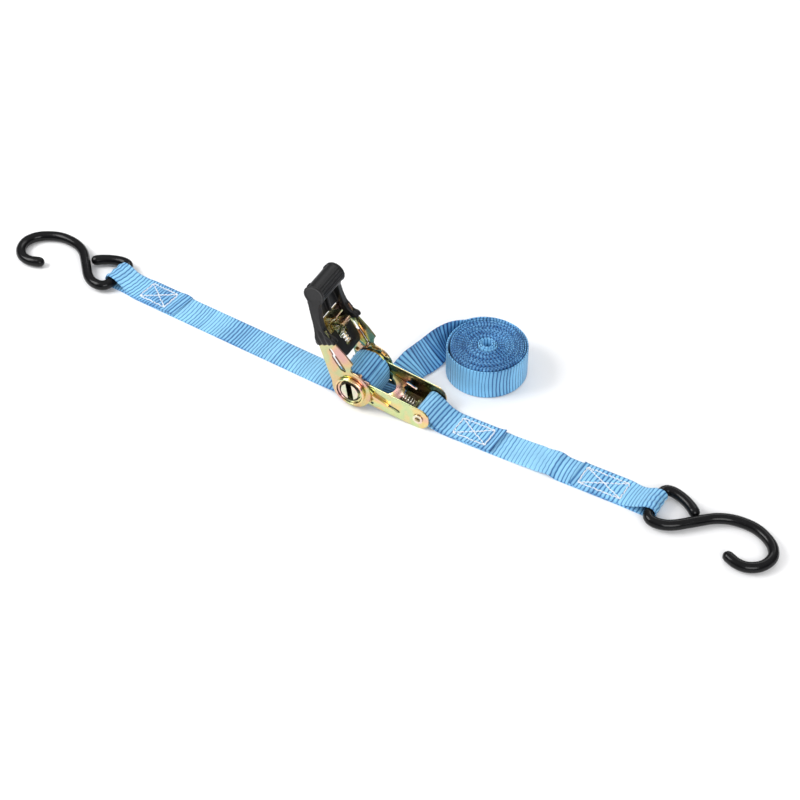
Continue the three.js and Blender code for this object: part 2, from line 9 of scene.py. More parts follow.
import bmesh
import bpy
import numpy as np
from mathutils import Matrix, Vector


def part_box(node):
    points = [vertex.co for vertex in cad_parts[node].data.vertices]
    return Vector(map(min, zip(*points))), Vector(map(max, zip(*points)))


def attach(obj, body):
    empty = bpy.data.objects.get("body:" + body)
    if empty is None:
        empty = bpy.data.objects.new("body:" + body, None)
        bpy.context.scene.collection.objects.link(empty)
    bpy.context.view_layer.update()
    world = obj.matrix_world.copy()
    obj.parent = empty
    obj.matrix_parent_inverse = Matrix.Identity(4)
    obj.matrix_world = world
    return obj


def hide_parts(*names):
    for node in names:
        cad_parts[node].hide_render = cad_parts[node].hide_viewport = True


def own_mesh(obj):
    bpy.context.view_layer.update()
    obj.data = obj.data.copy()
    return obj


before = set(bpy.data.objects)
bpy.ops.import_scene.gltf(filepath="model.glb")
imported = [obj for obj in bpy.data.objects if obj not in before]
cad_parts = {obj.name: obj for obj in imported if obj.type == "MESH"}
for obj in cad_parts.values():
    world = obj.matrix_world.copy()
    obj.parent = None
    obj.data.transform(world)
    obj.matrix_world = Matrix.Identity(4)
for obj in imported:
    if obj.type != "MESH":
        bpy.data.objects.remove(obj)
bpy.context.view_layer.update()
MM = 0.001


# ---- places on the object -----------------------------------------------------------------
def middle(node):
    low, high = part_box(node)
    return (low + high) / 2


def shift(x, y, z):
    return Matrix.Translation((x, y, z))


def turn(degrees, axis):
    return Matrix.Rotation(math.radians(degrees), 4, axis)


AXLE_H = 17.0  # spool axis above the floor
PIN_X, PIN_H = 52.853, 8.696  # end pin, from the spool along the frame and above the floor
LONG_BAR, SHORT_BAR = -230, 182  # bar in each hook's eye, along its own strap
WIRE_R = 3.9
EYE_H = 5.65  # height of the middle of a hook's bar
COIL_X, COIL_Y = 69.3, 63.6

# axes of the groups of pieces: the floor under the spool, the spool, the frame, the handle, the two
# pawls and the two straps
AXLE_AT = (middle("hub_washer_near") + middle("hub_washer_far")) / 2 / MM
GROUND = shift(AXLE_AT.x, AXLE_AT.y, AXLE_AT.z - AXLE_H)
AXLE = GROUND @ shift(0, 0, AXLE_H)
CHANNEL = AXLE @ turn(8.5, "Y")
HANDLE = AXLE @ turn(-112, "Y")
DRIVE = HANDLE @ shift(0, 0, -5) @ turn(-13, "Y")
PAWL = CHANNEL @ shift(0, 0, 4.3) @ turn(10.8, "Y")
LONG = GROUND @ turn(-5.7, "Z")
SHORT = GROUND @ shift(PIN_X, 0, 0) @ turn(-1.9, "Z")


def moved(points, place):
    m = np.array(place)
    return np.asarray(points, float) @ m[:3, :3].T + m[:3, 3]


# ---- meshes -------------------------------------------------------------------------------
def linked(name, mesh):
    obj = bpy.data.objects.new(name, mesh)
    bpy.context.scene.collection.objects.link(obj)
    return obj


def solid(name, points, faces, look, place):
    """Smooth object from points in mm; faces are turned outwards."""
    mesh = bpy.data.meshes.new(name)
    mesh.from_pydata((moved(points, place) * MM).tolist(), [], [list(f) for f in faces])
    mesh.update()
    bm = bmesh.new()
    bm.from_mesh(mesh)
    if bm.calc_volume(signed=True) < 0:
        bmesh.ops.reverse_faces(bm, faces=bm.faces)
        bm.to_mesh(mesh)
    bm.free()
    mesh.materials.append(look)
    mesh.polygons.foreach_set("use_smooth", [True] * len(mesh.polygons))
    return linked(name, mesh)


def attribute(obj, name, values):
    layer = obj.data.attributes.new(name, "FLOAT", "POINT")
    layer.data.foreach_set("value", np.asarray(values, np.float32).ravel())


def catmull(points, step=0.5):
    """Points about a step apart on a centripetal spline through the given ones."""
    p = np.asarray(points, float)
    p = np.vstack([2 * p[0] - p[1], p, 2 * p[-1] - p[-2]])
    out = []
    for i in range(1, len(p) - 2):
        a, b, c, d = p[i - 1 : i + 3]
        t1, t2, t3 = np.cumsum([np.linalg.norm(b - a) ** 0.5, np.linalg.norm(c - b) ** 0.5,
                                np.linalg.norm(d - c) ** 0.5])
        n = max(2, int(np.linalg.norm(c - b) / step))
        for t in np.linspace(t1, t2, n, endpoint=False):
            a1 = a + (b - a) * t / t1
            a2 = b + (c - b) * (t - t1) / (t2 - t1)
            a3 = c + (d - c) * (t - t2) / (t3 - t2)
            b1 = a1 + (a2 - a1) * t / t2
            b2 = a2 + (a3 - a2) * (t - t1) / (t3 - t1)
            out.append(b1 + (b2 - b1) * (t - t1) / (t2 - t1))
    out.append(p[-2])
    return np.array(out)


def arc(cx, cz, r, start, end, step=4.0):
    """Part of a circle, by its start and end in degrees."""
    n = max(2, int(abs(end - start) / step))
    a = np.radians(np.linspace(start, end, n + 1))
    return np.stack([cx + r * np.cos(a), cz + r * np.sin(a)], 1)


def lengths(points):
    return np.concatenate([[0], np.cumsum(np.linalg.norm(np.diff(points, axis=0), axis=1))])


def at(points, s, values):
    """Vectors known at each point of a line, read at distances s along it."""
    d = lengths(points)
    return np.stack([np.interp(s, d, values[:, k]) for k in range(values.shape[1])], 1)


def unit(v):
    return v / np.maximum(np.linalg.norm(v, axis=-1, keepdims=True), 1e-9)


def ease(x, low, high):
    t = np.clip((x - low) / (high - low), 0, 1)
    return t * t * (3 - 2 * t)


DOME = (30, 58, 80)  # rings of a domed end, in degrees from its rim


def tube(points, radius, sides):
    """Round wire along a line of points, its ends domed."""
    p = np.asarray(points, float)
    t = unit(np.gradient(p, axis=0))
    normal = np.zeros_like(p)
    seed = np.array([0, 0, 1.0]) if abs(t[0][2]) < 0.9 else np.array([0, 1.0, 0])
    normal[0] = unit(seed - t[0] * (seed @ t[0]))
    for i in range(1, len(p)):
        n = normal[i - 1] - t[i] * (normal[i - 1] @ t[i])
        normal[i] = unit(n)
    side = np.cross(t, normal)
    radii = np.full(len(p), float(radius)) if np.isscalar(radius) else np.asarray(radius, float)
    rings = [(p[i], radii[i], normal[i], side[i]) for i in range(len(p))]
    for end, sign in ((0, -1), (-1, 1)):
        cap = []
        for a in DOME:
            r = radii[end] * math.cos(math.radians(a))
            c = p[end] + sign * t[end] * radii[end] * math.sin(math.radians(a))
            cap.append((c, r, normal[end], side[end]))
        rings = (cap[::-1] + rings) if end == 0 else (rings + cap)
    angles = np.linspace(0, 2 * np.pi, sides, endpoint=False)
    verts = np.vstack([c + r * (np.outer(np.cos(angles), n) + np.outer(np.sin(angles), s))
                       for c, r, n, s in rings])
    faces = []
    for i in range(len(rings) - 1):
        for j in range(sides):
            k = (j + 1) % sides
            faces.append((i * sides + j, i * sides + k, (i + 1) * sides + k, (i + 1) * sides + j))
    faces.append(tuple(range(sides))[::-1])
    faces.append(tuple(range((len(rings) - 1) * sides, len(rings) * sides)))
    return verts, faces


# ---- materials ----------------------------------------------------------------------------
class Look:
    """A node material and short ways to add to it."""

    def __init__(self, name):
        self.material = bpy.data.materials.new(name)
        self.material.use_nodes = True
        self.tree = self.material.node_tree
        self.shader = self.tree.nodes["Principled BSDF"]
        self.place = self.node("TexCoord").outputs["Object"]

    def node(self, kind, settings=None, **sockets):
        n = self.tree.nodes.new("ShaderNode" + kind)
        for key, value in (settings or {}).items():
            setattr(n, key, value)
        # a socket is given by its name, or as i0, i1 and so on by its place
        for key, value in sockets.items():
            by_place = key[0] == "i" and key[1:].isdigit()
            self.feed(n.inputs[int(key[1:]) if by_place else key], value)
        return n

    def feed(self, socket, value):
        if isinstance(value, bpy.types.NodeSocket):
            self.tree.links.new(value, socket)
        else:
            socket.default_value = value

    def set(self, name, value):
        self.feed(self.shader.inputs[name], value)

    def noise(self, scale, detail=2.0, rough=0.5, distortion=0.0, vector=None):
        n = self.node("TexNoise", Vector=self.place if vector is None else vector, Scale=scale,
                      Detail=detail, Roughness=rough, Distortion=distortion)
        return n.outputs["Fac"]

    def scaled(self, factors):
        n = self.node("Mapping", Vector=self.place)
        n.inputs["Scale"].default_value = factors
        return n.outputs["Vector"]

    def math(self, kind, a, b=0.0):
        return self.node("Math", {"operation": kind}, i0=a, i1=b).outputs[0]

    def between(self, value, low, high, to_low=0.0, to_high=1.0):
        n = self.node("MapRange", i0=value, i1=low, i2=high, i3=to_low, i4=to_high)
        return n.outputs[0]

    def ramp(self, value, stops):
        n = self.node("ValToRGB", Fac=value)
        elements = n.color_ramp.elements
        while len(elements) < len(stops):
            elements.new(0.5)
        for element, (position, colour) in zip(elements, stops):
            element.position = position
            element.color = (*colour, 1)
        return n.outputs["Color"]

    def mix(self, factor, a, b, kind="MIX"):
        n = self.node("Mix", {"data_type": "RGBA", "blend_type": kind})
        for socket, value in ((n.inputs[0], factor), (n.inputs[6], a), (n.inputs[7], b)):
            if not isinstance(value, bpy.types.NodeSocket) and not np.isscalar(value):
                value = (*value, 1)
            self.feed(socket, value)
        return n.outputs[2]

    def attribute(self, name):
        return self.node("Attribute", {"attribute_name": name}).outputs["Fac"]

    def bump(self, height, distance, strength, after=None):
        n = self.node("Bump", Height=height, Distance=distance, Strength=strength)
        if after is not None:
            self.tree.links.new(after, n.inputs["Normal"])
        return n.outputs["Normal"]


def srgb(r, g, b):
    """Linear colour of a screen colour from 0 to 255."""
    return tuple((c / 255 / 12.92) if c <= 10 else ((c / 255 + 0.055) / 1.055) ** 2.4 for c in (r, g, b))


# in metres from the spool's axis or from the middle of the buckle, where a colour begins to change
# and where it has changed: at the shafts' radius and just short of their ends, just past the
# frame's inner faces, and short of the handle's inner faces
SHAFT_RADIUS, SHAFT_ENDS = (0.0066, 0.0072), (0.0194, 0.0203)
FRAME_INSIDE, HANDLE_INSIDE = (0.01345, 0.0137), (0.0150, 0.0158)
# colours of painted shade in the spool's slot, on the drive pawl's ears in the handle's slots and between
# the frame's plates; then tints of the wheels and of the handle
SLOT_SHADE = (0.016, 0.013, 0.01)
EAR_SHADE = (0.07, 0.032, 0.014)
INSIDE_SHADE = (0.05, 0.052, 0.02)
DARK_OLIVE = (0.27, 0.25, 0.13)
WARM_TINT = (0.40, 0.25, 0.15)


def from_axle(k):
    """Distances in metres from the spool's axis, and along it from the middle of the buckle."""
    x, y, z = k.node("SeparateXYZ", i0=k.place).outputs
    centre = AXLE_AT * MM
    dx, dz = k.math("SUBTRACT", x, centre.x), k.math("SUBTRACT", z, centre.z)
    radius = k.math("SQRT", k.math("ADD", k.math("MULTIPLY", dx, dx), k.math("MULTIPLY", dz, dz)))
    return radius, k.math("ABSOLUTE", k.math("SUBTRACT", y, centre.y))


def slot_shade(k, colour):
    """Painted shade darkens the walls of the spool's slot."""
    radius, along = from_axle(k)
    inside = k.math("MULTIPLY", k.between(radius, *SHAFT_RADIUS, 1, 0), k.between(along, *SHAFT_ENDS, 1, 0))
    return k.mix(k.math("MULTIPLY", inside, 0.93), colour, SLOT_SHADE)


def olive_wheel(k, colour):
    """The wheels are darker and more olive than the plates, and their keys sit in the slot, where they get
    its painted shade.
    """
    return slot_shade(k, k.mix(0.5, colour, DARK_OLIVE))


def warm_handle(k, colour):
    """The handle's plates are warmer and a little darker than the frame."""
    return k.mix(0.28, colour, WARM_TINT)


def dark_ears(k, colour):
    """Painted shade browns the drive pawl's ears, which run in the handle's slots."""
    _, along = from_axle(k)
    return k.mix(k.between(along, *HANDLE_INSIDE, 0, 0.85), colour, EAR_SHADE)


def dark_inside(k, colour):
    """Painted shade, dark and olive, on the faces between the frame's plates."""
    _, along = from_axle(k)
    inside = k.between(along, *FRAME_INSIDE, 1, 0)
    return k.mix(k.math("MULTIPLY", inside, 0.8), colour, INSIDE_SHADE)


def plated_steel(name, tint_and_painted_shade=None):
    """Yellow passivated zinc: straw, green and pink films that drift slowly over bright steel.

    A function given as the last argument may tint the colour and paint shade into it, by its place on the
    buckle.
    """
    k = Look(name)
    broad = k.noise(46, 0.6, 0.4, 0.5)
    small = k.noise(190, 2, 0.5, 0.5)
    film = k.math("ADD", k.math("MULTIPLY", broad, 0.86), k.math("MULTIPLY", small, 0.14))
    colour = k.ramp(film, [
        (0.30, srgb(226, 176, 172)), (0.40, srgb(232, 202, 150)), (0.47, srgb(198, 212, 160)),
        (0.53, srgb(206, 216, 160)), (0.60, srgb(234, 206, 142)), (0.68, srgb(228, 176, 170)),
        (0.78, srgb(206, 206, 168)),
    ])
    worn = k.between(k.noise(800, 3, 0.6), 0.58, 0.74)
    colour = k.mix(k.math("MULTIPLY", worn, 0.3), colour, srgb(244, 240, 226))
    scratches = k.noise(520, 4, 0.7, vector=k.scaled((1, 6, 0.35)))
    k.set("Base Color", tint_and_painted_shade(k, colour) if tint_and_painted_shade else colour)
    k.set("Metallic", 1.0)
    k.set("Roughness", k.between(k.math("ADD", small, scratches), 0.7, 1.35, 0.16, 0.28))
    pits = k.noise(1500, 3, 0.6)
    k.set("Normal", k.bump(scratches, 0.00002, 0.35, k.bump(pits, 0.000015, 0.3)))
    return k.material


def bright_steel(name, tint_and_painted_shade=None):
    """Turned steel under a thin clear film."""
    k = Look(name)
    turned = k.noise(1400, 3, 0.6, vector=k.scaled((0.4, 2.2, 1)))
    blotch = k.noise(120, 3, 0.6, 0.8)
    colour = k.ramp(blotch, [(0.3, srgb(205, 214, 186)), (0.5, srgb(233, 224, 204)),
                             (0.62, srgb(232, 200, 190)), (0.75, srgb(214, 220, 202))])
    k.set("Base Color", tint_and_painted_shade(k, colour) if tint_and_painted_shade else colour)
    k.set("Metallic", 1.0)
    k.set("Roughness", k.between(turned, 0.3, 0.7, 0.17, 0.32))
    k.set("Normal", k.bump(turned, 0.00003, 0.5))
    return k.material


def ring_painted_shade_steel():
    """Dark spring steel of the retaining rings, painted shade for the shadowed gap round the shaft ends."""
    k = Look("ring_painted_shade_steel")
    cloud = k.noise(600, 3, 0.6)
    k.set("Base Color", k.ramp(cloud, [(0.3, srgb(34, 30, 26)), (0.7, srgb(62, 54, 44))]))
    k.set("Metallic", 0.7)
    k.set("Roughness", k.between(cloud, 0.3, 0.7, 0.3, 0.46))
    k.set("Normal", k.bump(cloud, 0.00002, 0.4))
    return k.material


def spring_wire():
    k = Look("spring_wire")
    drawn = k.noise(2600, 2, 0.5)
    cloud = k.noise(300, 3, 0.6)
    k.set("Base Color", k.ramp(cloud, [(0.3, srgb(196, 190, 172)), (0.7, srgb(236, 232, 222))]))
    k.set("Metallic", 1.0)
    k.set("Roughness", k.between(drawn, 0.3, 0.7, 0.16, 0.34))
    k.set("Normal", k.bump(drawn, 0.00002, 0.4))
    return k.material


def moulded_black(name, low, high, rough_low, rough_high, grain):
    """Moulded plastic or rubber with a fine grain, rubbed spots and a little dust."""
    k = Look(name)
    cloud = k.noise(60, 4, 0.6, 0.4)
    fine = k.noise(grain, 3, 0.6)
    dust = k.between(k.noise(2600, 2, 0.7), 0.66, 0.8)
    colour = k.ramp(cloud, [(0.3, srgb(*low)), (0.72, srgb(*high))])
    k.set("Base Color", k.mix(k.math("MULTIPLY", dust, 0.2), colour, srgb(92, 94, 98)))
    k.set("Roughness", k.between(k.math("ADD", cloud, fine), 0.7, 1.3, rough_low, rough_high))
    k.set("Specular IOR Level", 0.36)
    k.set("Normal", k.bump(fine, 0.00006, 0.35))
    return k.material


def dipped_vinyl():
    """Thick black vinyl coating: soft sags, scuffs and a wet-looking skin."""
    k = Look("hook_vinyl")
    sag = k.noise(55, 2, 0.5)
    scuff = k.between(k.noise(420, 5, 0.7, 1.0, k.scaled((1, 1, 2.5))), 0.58, 0.7)
    grain = k.noise(1900, 3, 0.6)
    colour = k.ramp(k.noise(140, 3, 0.6), [(0.3, srgb(7, 7, 8)), (0.7, srgb(14, 14, 16))])
    k.set("Base Color", k.mix(k.math("MULTIPLY", scuff, 0.12), colour, srgb(60, 60, 64)))
    skin = k.between(grain, 0.3, 0.7, 0.17, 0.25)
    k.set("Roughness", k.math("ADD", skin, k.math("MULTIPLY", scuff, 0.18)))
    k.set("Specular IOR Level", 0.16)
    k.set("Coat Weight", 0.1)
    k.set("Coat Roughness", 0.12)
    k.set("Normal", k.bump(sag, 0.0004, 0.5, k.bump(grain, 0.00004, 0.3)))
    return k.material


YARNS_PER_MM = 1.9


def webbing(name, groove, body, crest, patchy=1.0):
    """Ribbed polyester webbing, in three colours from the grooves to the crests of its ribs: painted shade
    in the grooves and a painted highlight on the crests.

    The mesh carries the ribs; rib, tone, across and along are read from it.
    """
    k = Look(name)
    rib, tone_and_painted_light = k.attribute("rib"), k.attribute("tone_and_painted_light")
    across, along = k.attribute("across"), k.attribute("along")
    wander = k.between(k.noise(700, 2, 0.5), 0.3, 0.7, -0.25, 0.25)
    # yarns run along the strap, and their filaments twist
    yarn = k.math("SINE", k.math("MULTIPLY", k.math("ADD", across, wander), 2 * math.pi * YARNS_PER_MM))
    twist_phase = k.math("ADD", k.math("MULTIPLY", along, 9.5), k.math("MULTIPLY", across, 7.0))
    twist = k.math("SINE", twist_phase)
    fibre = k.noise(3800, 3, 0.7)
    height = k.math("ADD", k.math("MULTIPLY", yarn, 0.5), k.math("MULTIPLY", twist, 0.22))
    height = k.math("ADD", height, fibre)
    # the crests are painted lighter and the grooves darker: a painted highlight and painted shade on the
    # ribs
    lit = k.math("ADD", rib, k.math("MULTIPLY", k.math("SUBTRACT", fibre, 0.5), 0.5))
    lit = k.math("ADD", lit, k.math("MULTIPLY", yarn, 0.06))
    # the strap's painted light and shade, with a random shift from rib to rib
    lit = k.math("ADD", lit, k.math("MULTIPLY", k.math("SUBTRACT", tone_and_painted_light, 0.5), 0.34))
    colour = k.ramp(lit, [(0.05, srgb(*groove)), (0.45, srgb(*body)), (0.92, srgb(*crest))])
    patches = k.between(k.noise(38, 3, 0.5), 0.35, 0.65)
    colour = k.mix(k.math("MULTIPLY", patches, 0.16 * patchy), colour, srgb(*groove), "MULTIPLY")
    k.set("Base Color", colour)
    k.set("Roughness", k.between(height, -0.3, 1.6, 0.62, 0.44))
    k.set("Sheen Weight", 0.25)
    k.set("Sheen Roughness", 0.4)
    k.set("Sheen Tint", (0.75, 0.88, 1.0, 1.0))
    k.set("Specular IOR Level", 0.45)
    k.set("Normal", k.bump(height, 0.00012, 0.5))
    return k.material


def sewing_thread():
    k = Look("white_thread")
    ply = k.noise(3200, 2, 0.6)
    k.set("Base Color", k.ramp(ply, [(0.3, srgb(206, 212, 222)), (0.7, srgb(250, 251, 253))]))
    k.set("Roughness", k.between(ply, 0.3, 0.7, 0.5, 0.7))
    k.set("Sheen Weight", 0.2)
    k.set("Normal", k.bump(ply, 0.00008, 0.6))
    return k.material


ZINC = plated_steel("yellow_zinc")
ZINC_WHEEL = plated_steel("yellow_zinc_wheel", olive_wheel)
ZINC_HANDLE = plated_steel("yellow_zinc_handle", warm_handle)
ZINC_PAWL = plated_steel("yellow_zinc_drive_pawl", dark_ears)
ZINC_FRAME = plated_steel("yellow_zinc_frame", dark_inside)
STEEL = bright_steel("bright_steel")
STEEL_SHAFT = bright_steel("bright_steel_shaft", slot_shade)
RING_PAINTED_SHADE = ring_painted_shade_steel()
SPRING = spring_wire()
GRIP = moulded_black("grip_rubber", (10, 10, 11), (19, 19, 21), 0.34, 0.48, 2300)
SHIELD = moulded_black("shield_plastic", (9, 9, 10), (16, 16, 18), 0.32, 0.44, 1500)
VINYL = dipped_vinyl()
BLUE = webbing("blue_webbing", (14, 62, 124), (62, 130, 188), (150, 212, 246))
# a darker copy of the blue webbing: painted shade on the spare end, its coil and the roll on the spool
BLUE_PAINTED_SHADE = webbing("blue_webbing_spare_painted_shade", (6, 40, 92), (48, 116, 180), (132, 202, 244), 1.5)
THREAD = sewing_thread()


# ---- webbing ------------------------------------------------------------------------------
WIDTH = 25.0
HALF = WIDTH / 2
FLOOR_LINE = 0.625  # middle of a single layer that lies on the floor
UPPER_LINE = 1.845  # middle of a layer sewn on top of it
BAR_WRAP = 5.025  # radius of the webbing's middle round a hook's bar
SEAM_H = 2.5  # top of two sewn layers

# rows of points over one rib, as shares of its pitch, by the number of rows
RIB_STEPS = {8: (0.0, 0.07, 0.18, 0.34, 0.5, 0.66, 0.82, 0.93), 4: (0.0, 0.2, 0.5, 0.8)}
# the rounded edge of the webbing: distance in from the edge, and share of the thickness
SELVEDGE = ((0.0, 0.0), (0.1, 0.5), (0.42, 0.9))
FLAT_FROM = 1.0  # distance in from the edge where the flat face begins


def rib_rows(length, pitch, per_rib):
    ribs = int(math.ceil(length / pitch)) + 1
    s = (np.arange(ribs)[:, None] + np.array(RIB_STEPS[per_rib])[None]).ravel() * pitch
    s = s[s < length - 0.05]
    return np.append(s, length)


def ribbon(name, look, line, across, pitch, per_rib, columns, place, thick=1.2, depth=0.34,
           sideways=None, swell=None, shade=None, skew=0.0, wander=1.0, seed=1):
    """One strap as a closed ribbed mesh, and its length.

    line and across are dense: the webbing's middle line, and the direction of its width there.
    s runs along the strap and v across it. sideways(v, p) moves points across the strap,
    swell(s, v, level) moves them off its middle plane, and shade(s) paints light and shade onto its ribs.
    skew leans the ribs and wander bows them.
    """
    total = lengths(line)[-1]
    s = rib_rows(total, pitch, per_rib)
    # ribs crowd and spread a little, as hand-pulled webbing does
    spread = np.clip(s + 0.5 * np.sin(s / 7.3 + seed) + 0.25 * np.sin(s / 3.1 + 2 * seed), 0, total)
    spread[0], spread[-1] = 0, total
    p, a = at(line, spread, line), unit(at(line, spread, across))
    along = unit(np.gradient(p, axis=0))
    a = unit(a - along * (a * along).sum(1, keepdims=True))
    face = np.cross(along, a)
    phase = s / pitch
    index = np.floor(phase).astype(int)
    rand = np.random.default_rng(seed)
    rib_height = rand.uniform(0.8, 1.12, index.max() + 2)[index]
    # broad bands of painted light and shade along the strap, over a random shift from rib to rib
    broad = 0.45 * np.sin(s / 23 + seed) * np.sin(s / 9.7 + 2 * seed)
    tone_and_painted_light = np.clip(rand.normal(0.5, 0.2, index.max() + 2)[index] + broad, 0, 1)
    if shade is not None:
        tone_and_painted_light = tone_and_painted_light + shade(s)
    crest = 1 - np.abs(2 * (phase - index) - 1) ** 2.6
    # one loop of points round the strap: over its face, then back under it
    inner = np.linspace(-HALF + FLAT_FROM, HALF - FLAT_FROM, columns)
    edge = [(-HALF + v, h) for v, h in SELVEDGE]
    top = edge + [(v, 1.0) for v in inner] + [(-v, h) for v, h in edge[::-1]]
    loop = top + [(v, -h) for v, h in top[1:-1][::-1]]
    v0 = np.array([v for v, _ in loop])
    lift = np.array([h for _, h in loop])
    grid_s, grid_v = np.meshgrid(s, v0, indexing="ij")
    # the grooves run out towards the edges
    inland = ease(HALF - np.abs(grid_v), 0.2, 1.5) * 0.75 + 0.25
    cut = (1 - crest)[:, None] * rib_height[:, None] * depth * inland
    level = lift[None] * (thick / 2 - 0.02 - cut)
    # weft loops bead the selvedge
    bead = np.where(np.abs(lift) < 0.95, 0.16, 0.0)[None] * (crest[:, None] - 0.55)
    v = grid_v + np.sign(grid_v) * bead
    if swell is not None:
        level = level + swell(grid_s, grid_v, level)
    if sideways is not None:
        v = sideways(v, p)
    bow = 0.9 * np.sin(grid_s / 31 + seed) * ((grid_v / HALF) ** 2 - 0.4)
    ripple = 0.16 * np.sin(0.9 * grid_v + 0.53 * grid_s) * np.sin(grid_s / 11 + seed)
    ends = ease(grid_s, 0, 6) * ease(total - grid_s, 0, 6)
    drift = skew * grid_v + wander * (bow + ripple) * ends
    points = (p[:, None] + a[:, None] * v[..., None] + face[:, None] * level[..., None]
              + along[:, None] * drift[..., None])
    rows, cols = grid_s.shape
    i, j = np.meshgrid(np.arange(rows - 1), np.arange(cols), indexing="ij")
    k = (j + 1) % cols
    quads = np.stack([i * cols + j, i * cols + k, (i + 1) * cols + k, (i + 1) * cols + j], -1)
    faces = quads.reshape(-1, 4).tolist()
    # the cut ends; at the edges a quad folds to a triangle
    n = len(top)
    for row in (0, rows - 1):
        base = row * cols
        for c in range(n - 1):
            low0, low1 = base + (cols - c) % cols, base + (cols - c - 1)
            quad = [base + c, base + c + 1, low1, low0]
            if c == 0:
                quad = quad[:3]
            elif c == n - 2:
                quad = [base + c, base + c + 1, low0]
            faces.append(quad if row == 0 else quad[::-1])
    obj = solid(name, points.reshape(-1, 3), faces, look, place)
    # crest height, from which the material paints a highlight on the crests and shade in the grooves
    attribute(obj, "rib", np.repeat(crest[:, None] * 0.85 + 0.15, cols, 1) * (0.7 + 0.3 * inland))
    attribute(obj, "tone_and_painted_light", np.repeat(tone_and_painted_light[:, None], cols, 1))
    attribute(obj, "across", grid_v)
    attribute(obj, "along", grid_s)
    return obj, total


def upright(line_xz):
    """A line drawn in x and z becomes points in space, with the strap's width along y."""
    line = np.asarray(line_xz, float)
    points = np.stack([line[:, 0], np.zeros(len(line)), line[:, 1]], 1)
    return points, np.tile([0.0, 1.0, 0.0], (len(line), 1))


def dense(*parts):
    """Joins parts of a line, dropping doubled points, and fills long straights."""
    pts = np.vstack([np.asarray(p, float) for p in parts])
    keep = np.concatenate([[True], np.linalg.norm(np.diff(pts, axis=0), axis=1) > 0.05])
    pts = pts[keep]
    total = lengths(pts)[-1]
    return at(pts, np.append(np.arange(0, total, 0.4), total), pts)


def softened(pts, passes=6):
    """A line with its kinks smoothed out."""
    pts = pts.copy()
    for _ in range(passes):
        pts[1:-1] = 0.25 * pts[:-2] + 0.5 * pts[1:-1] + 0.25 * pts[2:]
    return pts


def pinch(bar, pull):
    """Draws the webbing together on its way to a hook's bar and pulls it to one side."""
    reach, sign = abs(bar), math.copysign(1, bar)

    def move(v, p):
        f = ease(sign * p[:, 0], reach - 26, reach - 8)[:, None]
        return v * (1 - 0.2 * f) + pull * f

    return move


def box_stitch(x0, x1, y0, y1):
    """Lines of a sewn box with its two diagonals."""
    c = [(x0, y0), (x1, y0), (x1, y1), (x0, y1)]
    return [(c[0], c[1]), (c[1], c[2]), (c[2], c[3]), (c[3], c[0]), (c[0], c[2]), (c[1], c[3])]


def line_distance(x, y, lines):
    """Distance from points to the nearest of the lines."""
    best = np.full(np.shape(x), 1e9)
    for (ax, ay), (bx, by) in lines:
        dx, dy = bx - ax, by - ay
        t = np.clip(((x - ax) * dx + (y - ay) * dy) / (dx * dx + dy * dy), 0, 1)
        best = np.minimum(best, np.hypot(x - ax - t * dx, y - ay - t * dy))
    return best


STITCH = 2.75  # length of one stitch with its gap
STITCH_FROM, STITCH_TO = 0.17, 0.83  # share of that length where the thread shows
STRAY = 0.42  # how far a stitch's ends may stray from the line
THREAD_R = 0.42


def sewn(name, lines, place, seed):
    """White lock stitches, each a short arched piece of thread sunk in the webbing at its ends."""
    rand = np.random.default_rng(seed)
    verts, faces = [], []
    for (ax, ay), (bx, by) in lines:
        length = math.hypot(bx - ax, by - ay)
        count = max(3, round(length / STITCH))
        for i in range(count):
            t0, t1 = (i + STITCH_FROM) / count, (i + STITCH_TO) / count
            wob = rand.uniform(-STRAY, STRAY, 4)
            p = []
            for t in np.linspace(0, 1, 9):
                f = t0 + (t1 - t0) * t
                arch = 0.5 * math.sin(math.pi * t) ** 0.6 - 0.3
                p.append((ax + (bx - ax) * f + wob[0] + (wob[1] - wob[0]) * t,
                          ay + (by - ay) * f + wob[2] + (wob[3] - wob[2]) * t, SEAM_H + arch))
            points, loops = tube(p, THREAD_R, 8)
            offset = sum(len(x) for x in verts)
            verts.append(points)
            faces += [tuple(k + offset for k in face) for face in loops]
    obj = solid(name, np.vstack(verts), faces, THREAD, place)
    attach(obj, "base")
    return obj


def strap_swell(line, seams, eye):
    """Dents along the sewn lines, puckers inside each box and gathers in the hook's eye, on one strap.

    A seam is the span of the strap that it holds, and its lines. eye is where along the strap the
    gathers are deepest.
    """
    d = lengths(line)

    def move(s, v, level):
        x = np.interp(s, d, line[:, 0])
        change = np.zeros_like(level)
        for (low, high), lines in seams:
            inside = (s > low) & (s < high)
            gap = line_distance(x, v, lines)
            change -= np.where(inside, 0.42 * np.exp(-(gap / 0.75) ** 2) * np.sign(level), 0)
            (x0, _), (x1, _) = lines[0]
            boxed = (x > x0) & (x < x1) & (np.abs(v) < 8.4) & inside & (level > 0)
            pucker = 0.3 * ease(gap, 0.8, 2.6) * (1 + 0.5 * np.sin(1.9 * x + 0.8 * v))
            change += np.where(boxed, pucker, 0)
        gather = 0.5 + 0.5 * np.cos(v * 0.75 + 0.6 + 0.12 * (s - eye))
        change += 0.75 * np.exp(-(((s - eye) / 11) ** 2)) * gather
        return change

    return move


